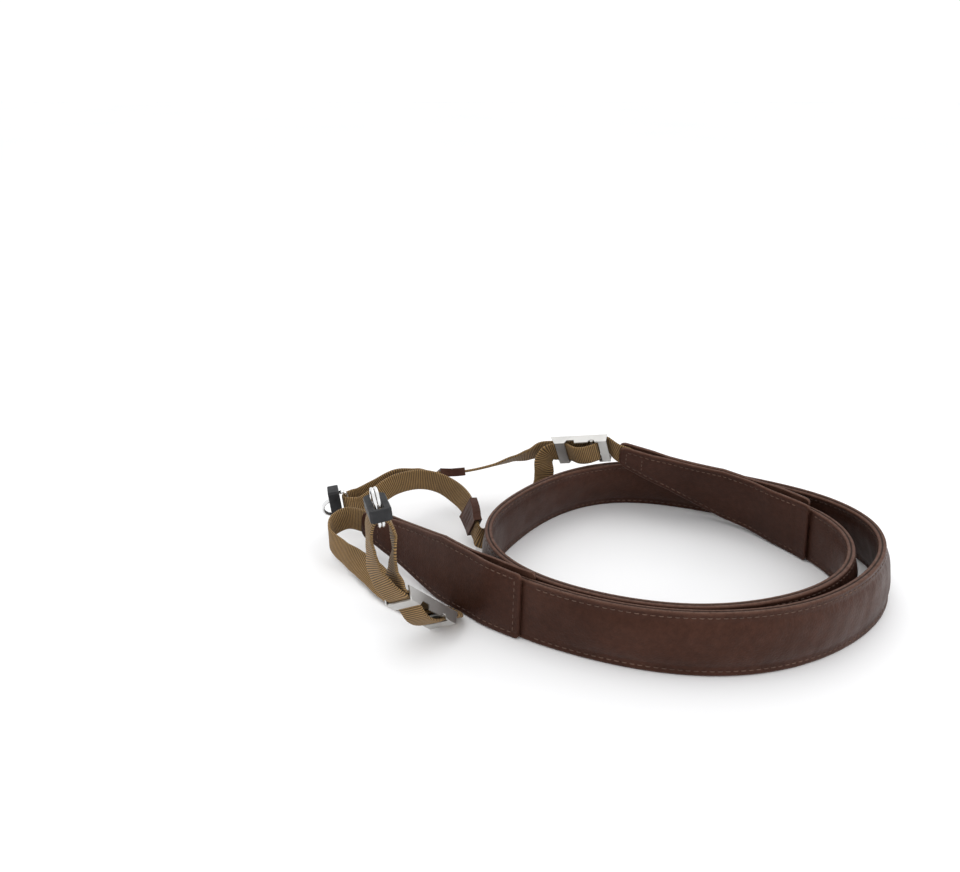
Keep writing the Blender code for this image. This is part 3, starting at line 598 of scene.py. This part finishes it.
def webbing_material():
    mat = bpy.data.materials.new("ribbed_webbing")
    t, b = nodes_of(mat)
    sep = t.nodes.new("ShaderNodeSeparateXYZ")
    link(t, coordinates(t, "UV"), sep.inputs[0])
    along, across = sep.outputs[0], sep.outputs[1]
    at = coordinates(t)
    rib = maths(t, "COSINE", maths(t, "MULTIPLY", along, 2.0 * math.pi / RIB))
    strand = maths(t, "SINE", maths(t, "ADD", maths(t, "MULTIPLY", across, 2.0 * math.pi / 0.62), maths(t, "MULTIPLY", along, math.pi / RIB)))
    height = maths(t, "ADD", rib, maths(t, "MULTIPLY", strand, 0.28))
    # painted shade and highlight: the colour goes nearly black in the troughs between the ribs and lighter on their
    # crests
    base = ramp(t, spread(t, height, -1.1, 1.0, 0.0, 1.0), ((0.0, (0.022, 0.011, 0.004)), (0.42, (0.140, 0.079, 0.026)), (1.0, (0.345, 0.208, 0.078))))
    patch = ramp(t, noise(t, at, 70.0, 5.0), ((0.3, (0.74, 0.73, 0.70)), (0.72, (1.12, 1.10, 1.06))))
    link(t, tint(t, base, patch, "MULTIPLY", 0.85), b.inputs["Base Color"])
    link(t, spread(t, noise(t, at, 900.0), 0.3, 0.7, 0.72, 0.92), b.inputs["Roughness"])
    b.inputs["Sheen Weight"].default_value = 0.08
    b.inputs["Sheen Roughness"].default_value = 0.45
    bumps(t, b, ((height, 0.35, 0.00012), (noise(t, at, 4000.0, 3.0), 0.35, 0.00008)))
    return mat


def metal(name, colour, rough, scratch):
    mat = bpy.data.materials.new(name)
    t, b = nodes_of(mat)
    at = coordinates(t)
    b.inputs["Metallic"].default_value = 1.0
    stretch = t.nodes.new("ShaderNodeMapping")
    stretch.inputs["Scale"].default_value = (1.0, 6.0, 2.0)
    link(t, at, stretch.inputs["Vector"])
    lines = noise(t, stretch.outputs["Vector"], 420.0, 3.0, 0.5)
    link(t, ramp(t, noise(t, at, 130.0, 4.0), ((0.3, tuple(c * 0.82 for c in colour)), (0.7, colour))), b.inputs["Base Color"])
    link(t, spread(t, lines, 0.3, 0.7, *rough), b.inputs["Roughness"])
    bumps(t, b, ((lines, scratch, 0.00001),))
    return mat


def guard_material():
    mat = bpy.data.materials.new("guard_black")
    t, b = nodes_of(mat)
    at = coordinates(t)
    link(t, ramp(t, noise(t, at, 220.0, 5.0), ((0.3, (0.010, 0.010, 0.011)), (0.7, (0.026, 0.026, 0.028)))), b.inputs["Base Color"])
    link(t, spread(t, noise(t, at, 400.0), 0.3, 0.7, 0.36, 0.55), b.inputs["Roughness"])
    bumps(t, b, ((noise(t, at, 2600.0, 3.0), 0.35, 0.00010),))
    b.inputs["Specular IOR Level"].default_value = 0.22
    return mat


RIB = 0.76
# the third colour of each leather is the painted highlight laid on its convex ridges
LEATHER_MAT = leather("strap_leather", (0.0215, 0.0078, 0.0046), (0.042, 0.0170, 0.0112), (0.13, 0.070, 0.050))
TAB_MAT = leather("tab_leather_fine", (0.0200, 0.0068, 0.0040), (0.036, 0.0135, 0.0085), (0.12, 0.062, 0.043), rough=(0.38, 0.56), grain=1000.0, depth=0.75)
EDGE_MAT = raw_edge("leather_edge", (0.050, 0.024, 0.017), (0.125, 0.068, 0.050))
SEAM_MAT = raw_edge("edge_seam", (0.018, 0.010, 0.008), (0.045, 0.028, 0.022))
THREAD_MAT = thread_material()
WEB_MAT = webbing_material()
STEEL_MAT = metal("satin_sheet_steel", (0.62, 0.61, 0.59), (0.36, 0.44), 0.04)
WIRE_MAT = metal("polished_wire", (0.86, 0.86, 0.86), (0.08, 0.20), 0.10)
GUARD_MAT = guard_material()


# ---- pieces ------------------------------------------------------------------------------
def finish_piece(name, bm, mats, nodes, sharp=50.0):
    bmesh.ops.recalc_face_normals(bm, faces=bm.faces[:])
    mesh = bpy.data.meshes.new(name)
    bm.to_mesh(mesh)
    bm.free()
    mesh.shade_smooth()
    mesh.set_sharp_from_angle(angle=math.radians(sharp))
    for m in mats:
        mesh.materials.append(m)
    obj = bpy.data.objects.new(name, mesh)
    scene.collection.objects.link(obj)
    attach(obj, "root")
    if nodes:
        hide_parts(*nodes)
    return obj


def skin(bm, rings, kinds=None, closed=False):
    """kinds[i] is the material of the strip between points i and i + 1 of each ring."""
    rows = [[bm.verts.new(place(p)) for p in ring] for ring in rings]
    n = len(rows[0])
    for a, b in list(zip(rows[:-1], rows[1:])) + ([(rows[-1], rows[0])] if closed else []):
        for i in range(n):
            j = (i + 1) % n
            f = bm.faces.new((a[i], a[j], b[j], b[i]))
            if kinds:
                f.material_index = kinds[i]
    if not closed:
        bm.faces.new(rows[0][::-1])
        bm.faces.new(rows[-1])
    return rows


def stitch(bm, a, b, up, radius=0.30):
    """One thread stitch from a to b, its ends dipping into the leather."""
    along = (b - a).normalized()
    side = along.cross(up).normalized()
    rows = []
    for t, r, h in ((0.0, 0.30, -0.9), (0.10, 0.85, -0.15), (0.35, 1.0, 0.18), (0.65, 1.0, 0.18), (0.90, 0.85, -0.15), (1.0, 0.30, -0.9)):
        c = a.lerp(b, t) + up * (h * radius)
        rows.append([bm.verts.new(place(c + side * (r * radius * math.cos(math.pi * k / 3)) + up * (0.8 * r * radius * math.sin(math.pi * k / 3)))) for k in range(6)])
    for p, q in zip(rows[:-1], rows[1:]):
        for k in range(6):
            m = (k + 1) % 6
            bm.faces.new((p[k], p[m], q[m], q[k]))
    bm.faces.new(rows[0][::-1])
    bm.faces.new(rows[-1])


def sew(bm, spot, start, end, pitch=2.6, length=1.75, radius=0.23):
    """Stitches along spot(q), which gives a point on the leather and its outward direction."""
    n = max(1, int(round((end - start) / pitch)))
    step = (end - start) / n
    for i in range(n):
        q = start + (i + 0.5) * step
        a, up = spot(q - length / 2.0)
        b, _ = spot(q + length / 2.0)
        stitch(bm, a, b, up, radius)


STITCH_IN = 1.9        # rows of stitches, from the edge of the strap


def pad_shape(v, flat):
    t = 1.0 - min(abs(v) / flat, 1.0)
    return 1.0 - (1.0 - t) ** 3.2


def strap_face(s, v, outer):
    """Height of a face of the strap over its middle plane, with puckers beside the thread and soft lumps."""
    half, side = STRAP_WIDTH / 2.0, strap_half(s)
    swell = float(eased(PADDING, 1 if outer else 2, s)[0])
    flat = half - MARGIN
    f = pad_shape(v, flat)
    row = math.exp(-((abs(v) - (half - STITCH_IN)) / 0.42) ** 2)
    pull = row * (0.15 + 0.05 * math.cos(2.0 * math.pi * s / 3.0))
    ph = 0.0 if outer else 1.7
    lump = f * swell * (0.055 * math.sin(s * 0.31 + 0.5 * v + ph) + 0.04 * math.sin(s * 0.83 - 0.35 * v + 2.0 * ph))
    pucker = 0.05 * swell * math.exp(-((abs(v) - flat + 0.9) / 1.3) ** 2) * math.sin(s * 2.09 + math.sin(s * 0.41 + ph) * 2.0)
    return side + swell * f + lump + pucker - pull


FACE_V = (11.45, 11.0, 10.55, 10.1, 9.65, 9.1, 8.5, 7.9, 7.1, 6.0, 4.5, 2.9, 1.4, 0.0)


def strap_ring(s):
    middle, up, out = LEATHER.frame(s, STRAP_WIDTH)
    half, side = STRAP_WIDTH / 2.0, strap_half(s)
    face = list(FACE_V) + [-v for v in FACE_V[-2::-1]]
    ring = [(v, strap_face(s, v, True)) for v in face]
    kinds = [0] * (len(face) - 1)
    band = [(-11.85, side - 0.14), (-12.0, side - 0.48), (-12.0, 0.34), (-11.68, 0.0), (-12.0, -0.34), (-12.0, -side + 0.48), (-11.85, -side + 0.14)]
    ring += band
    kinds += [0, 1, 1, 2, 2, 1, 1, 0]
    ring += [(-v, -strap_face(s, -v, False)) for v in face]
    kinds += [0] * (len(face) - 1)
    ring += [(-v, w) for v, w in reversed(band)]
    kinds += [0, 1, 1, 2, 2, 1, 1, 0]
    return [middle + up * v + out * w for v, w in ring], kinds


def build_strap():
    bm = bmesh.new()
    at = stations(-STRAP_TUCK, STRAP_LENGTH + STRAP_TUCK, 0.75)
    rings, kinds = [], None
    for s in at:
        ring, kinds = strap_ring(float(s))
        rings.append(ring)
    skin(bm, rings, kinds)
    strap = finish_piece("strap", bm, (LEATHER_MAT, EDGE_MAT, SEAM_MAT), ("strap_pad",))
    bm = bmesh.new()
    for v in (STRAP_WIDTH / 2.0 - STITCH_IN, -STRAP_WIDTH / 2.0 + STITCH_IN):
        for outer in (True, False):
            def spot(s, v=v, outer=outer):
                middle, up, out = LEATHER.frame(s, STRAP_WIDTH)
                w = strap_half(s) - 0.06
                n = out if outer else -out
                return middle + up * v + n * w, n
            sew(bm, spot, 5.0, STRAP_LENGTH - 5.0)
    finish_piece("strap_thread", bm, (THREAD_MAT,), ())


TAB_ROW = 2.1


def tab_half(d, over):
    """Half width of a tab leather, its ends rounded."""
    half = tab_width(max(d, 0.0)) / 2.0
    x, r = d + over, 1.7
    if x < r:
        half -= r - math.sqrt(max(r * r - (r - x) ** 2, 0.0))
    x, r = TAB_LENGTH - d, 3.2
    if x < r:
        half -= (r - math.sqrt(max(r * r - (r - x) ** 2, 0.0))) * 0.9
    return half


def tab_outer(d, v, half, side):
    base = tab_inner(d) + TAB_LEATHER
    row = math.exp(-((abs(v) - (half - TAB_ROW)) / 0.42) ** 2)
    across = math.exp(-((d - 2.4) / 0.42) ** 2) if abs(v) < half - TAB_ROW else 0.0
    soft = 0.05 * math.sin(0.23 * d + 0.31 * v + side) * max(0.0, 1.0 - abs(v) / half)
    crown = 0.10 * (1.0 - (v / half) ** 2)
    return base - 0.10 * max(row, across) + soft + crown - 0.05


def build_tab(name, end, side, node):
    joint = 0.0 if end < 0 else STRAP_LENGTH
    over = BACK_OVERHANG if side < 0 else 0.0
    spots = [-over + x for x in (0.0, 0.08, 0.25, 0.5, 0.85, 1.25, 1.7)]
    spots += list(stations(2.1 - over, TAB_LENGTH - 3.4, 0.7))
    spots += [TAB_LENGTH - x for x in (3.0, 2.4, 1.8, 1.2, 0.7, 0.3, 0.0)]
    bm = bmesh.new()
    rings, kinds = [], None
    for d in spots:
        d = float(d)
        middle, up, out = LEATHER.frame(joint + end * d, TAB_WIDTH)
        half = tab_half(d, over)
        inner = tab_inner(d)
        ease = 0.30 * max(0.0, 1.0 - (d + over) / 0.5) + 0.30 * max(0.0, 1.0 - (TAB_LENGTH - d) / 0.5)
        vs = [half - x for x in (0.40, 0.9, 1.4, 1.75, 2.1, 2.45, 2.9)] + [(half - 2.9) * f for f in (0.78, 0.52, 0.26, 0.0)]
        vs += [-v for v in vs[-2::-1]]
        ring = [(v, tab_outer(d, v, half, side) - ease) for v in vs]
        top = inner + TAB_LEATHER - ease
        low = [(-half + 0.10, top - 0.16), (-half, top - 0.42), (-half, inner + 0.18), (-half + 0.12, inner)]
        ring += low + [(-v, w) for v, w in reversed(low)]
        kinds = [0] * (len(vs) - 1) + [0, 0, 1, 1, 0, 1, 1, 0, 0]
        rings.append([middle + up * v + out * (side * w) for v, w in ring])
    skin(bm, rings, kinds)
    obj = finish_piece(name, bm, (TAB_MAT, EDGE_MAT), (node,))
    bm = bmesh.new()

    def point(d, v):
        middle, up, out = LEATHER.frame(joint + end * d, TAB_WIDTH)
        w = tab_inner(d) + TAB_LEATHER - 0.04
        return middle + up * v + out * (side * w), out * side

    for sign in (1.0, -1.0):
        sew(bm, lambda d: point(d, sign * (tab_width(d) / 2.0 - TAB_ROW)), 2.6, TAB_LENGTH - 3.0)
    reach = TAB_WIDTH / 2.0 - TAB_ROW - 0.2
    if side > 0:
        sew(bm, lambda v: point(2.4, v), -reach, reach)
    tip = TONGUE_TIP / 2.0 - TAB_ROW + 0.2
    for d in (TAB_LENGTH - 3.0, TAB_LENGTH - WEB_TUCK + 1.0):
        sew(bm, lambda v, d=d: point(d, v), -tip, tip, pitch=2.6)
    finish_piece(name + "_thread", bm, (THREAD_MAT,), ())
    return obj


WEB_HALF = ((5.0, 0.0), (4.93, 0.30), (4.70, 0.47), (4.1, 0.53), (2.4, 0.54), (0.8, 0.55))


def build_webbing(name, rows, node, step=0.19):
    line, wide = through([r[:3] for r in rows], [np.array(r[3:6]) / np.linalg.norm(r[3:6]) for r in rows], fine=24)
    tan = np.gradient(line, axis=0)
    tan /= np.linalg.norm(tan, axis=1)[:, None]
    wide = wide - tan * (wide * tan).sum(1)[:, None]
    wide /= np.linalg.norm(wide, axis=1)[:, None]
    cum = np.concatenate([[0.0], np.cumsum(np.linalg.norm(np.diff(line, axis=0), axis=1))])
    q = np.linspace(0.0, cum[-1], int(cum[-1] / step) + 1)

    def read(a):
        return np.stack([np.interp(q, cum, a[:, i]) for i in range(3)], 1)
    mid, wid, tan = read(line), read(wide), read(tan)
    wid /= np.linalg.norm(wid, axis=1)[:, None]
    nor = np.cross(tan, wid)
    nor /= np.linalg.norm(nor, axis=1)[:, None]
    shape = list(WEB_HALF) + [(-a, b) for a, b in reversed(WEB_HALF)]
    shape += [(-a, -b) for a, b in WEB_HALF[1:]] + [(a, -b) for a, b in reversed(WEB_HALF[1:])]
    bm = bmesh.new()
    uv = bm.loops.layers.uv.new("UVMap")
    rings = []
    for k, (m, a, b) in enumerate(zip(mid, wid, nor)):
        swell = 1.0 + 0.085 * math.cos(2.0 * math.pi * q[k] / RIB) - 0.03
        edge = 1.0 + 0.007 * math.cos(2.0 * math.pi * q[k] / RIB + 1.0) - 0.007
        rings.append([Vector(m + a * (x * edge) + b * (y * swell)) for x, y in shape])
    rows_ = skin(bm, rings)
    where = {}
    for k, row in enumerate(rows_):
        for i, vert in enumerate(row):
            where[vert] = (q[k], shape[i][0])
    for f in bm.faces:
        for loop in f.loops:
            loop[uv].uv = where[loop.vert]
    return finish_piece(name, bm, (WEB_MAT,), (node,), sharp=70.0)


def build_ring(name, ring, node):
    path = ring_path(**ring)
    fine = []
    for a, b in zip(path[:-1], path[1:]):
        fine += [a.lerp(b, t) for t in ((0.0, 0.5) if (b - a).length < 2.0 else (0.0, 0.2, 0.4, 0.6, 0.8))]
    fine.append(path[-1])
    bm = bmesh.new()
    rings, ref = [], None
    for i, p in enumerate(fine):
        t = (fine[min(i + 1, len(fine) - 1)] - fine[max(i - 1, 0)]).normalized()
        ref = t.orthogonal().normalized() if ref is None else ref
        ref = (ref - t * ref.dot(t)).normalized()
        c = t.cross(ref)
        end = min(i, len(fine) - 1 - i)
        r = WIRE / 2.0 * (0.80 if end == 0 else 1.0)
        rings.append([p + ref * (r * math.cos(2 * math.pi * k / 18)) + c * (r * math.sin(2 * math.pi * k / 18)) for k in range(18)])
    skin(bm, rings)
    return finish_piece(name, bm, (WIRE_MAT,), (node,), sharp=60.0)


def dress(node, mat, bevel, segments=3):
    """A node whose shape is right keeps it, with its edges eased."""
    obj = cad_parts[node]
    for i in range(max(1, len(obj.material_slots))):
        if obj.material_slots:
            obj.material_slots[i].material = mat
        else:
            obj.data.materials.append(mat)
    weld = obj.modifiers.new("weld", "WELD")
    weld.merge_threshold = 0.000004
    ease = obj.modifiers.new("bevel", "BEVEL")
    ease.width = bevel
    ease.segments = segments
    ease.limit_method = "ANGLE"
    ease.angle_limit = math.radians(40.0)
    ease.harden_normals = True


build_strap()
build_tab("tab_a_outer", -1, +1, "tab_a_front")
build_tab("tab_a_inner", -1, -1, "tab_a_back")
build_tab("tab_b_outer", +1, +1, "tab_b_front")
build_tab("tab_b_inner", +1, -1, "tab_b_back")
build_webbing("webbing_strip_a", webbing_a_rows(), "webbing_a")
build_webbing("webbing_strip_b", webbing_b_rows(), "webbing_b")
build_ring("ring_wire_a", RING_A, "lug_ring_a")
build_ring("ring_wire_b", RING_B, "lug_ring_b")
for node in ("buckle_a", "buckle_b"):
    dress(node, STEEL_MAT, 0.00014)
for node in ("ring_guard_a", "ring_guard_b"):
    dress(node, GUARD_MAT, 0.00030)
for node in ("keeper_b1", "keeper_b2"):
    dress(node, TAB_MAT, 0.00028)

# ---- floor and lights ---------------------------------------------------------------------
bm = bmesh.new()
bmesh.ops.create_grid(bm, x_segments=1, y_segments=1, size=4.0)
mesh = bpy.data.meshes.new("floor")
bm.to_mesh(mesh)
bm.free()
floor = bpy.data.objects.new("floor", mesh)
floor.location = (0.0, 0.0, -0.00002)
scene.collection.objects.link(floor)
fmat = bpy.data.materials.new("floor_pale")
ft, fb = nodes_of(fmat)
link(ft, ramp(ft, noise(ft, coordinates(ft), 3.0, 2.0), ((0.3, (0.93, 0.93, 0.935)), (0.7, (0.95, 0.95, 0.955)))), fb.inputs["Base Color"])
fb.inputs["Roughness"].default_value = 0.55
fb.inputs["Specular IOR Level"].default_value = 0.1
floor.data.materials.append(fmat)

world = scene.world or bpy.data.worlds.new("world")
scene.world = world
world.use_nodes = True
back = world.node_tree.nodes.get("Background")
back.inputs["Color"].default_value = (0.99, 0.995, 1.0, 1.0)
back.inputs["Strength"].default_value = 1.08


def area(name, at, aim, size, energy, colour=(1.0, 1.0, 1.0)):
    lamp = bpy.data.lights.new(name, "AREA")
    lamp.shape = "RECTANGLE"
    lamp.size, lamp.size_y = size
    lamp.energy = energy
    lamp.color = colour
    obj = bpy.data.objects.new(name, lamp)
    obj.location = at
    obj.rotation_euler = (Vector(aim) - Vector(at)).to_track_quat("-Z", "Y").to_euler()
    scene.collection.objects.link(obj)


area("key", (-0.20, 0.15, 0.95), (0.02, 0.0, 0.0), (0.6, 0.5), 1.2, (1.0, 0.985, 0.96))
area("rear", (0.35, 0.75, 0.55), (0.03, 0.0, 0.01), (0.9, 0.3), 1.2, (0.97, 0.985, 1.0))
area("side", (0.70, -0.45, 0.30), (0.06, 0.0, 0.01), (0.22, 0.12), 1.1)
scene.view_settings.view_transform = "Standard"
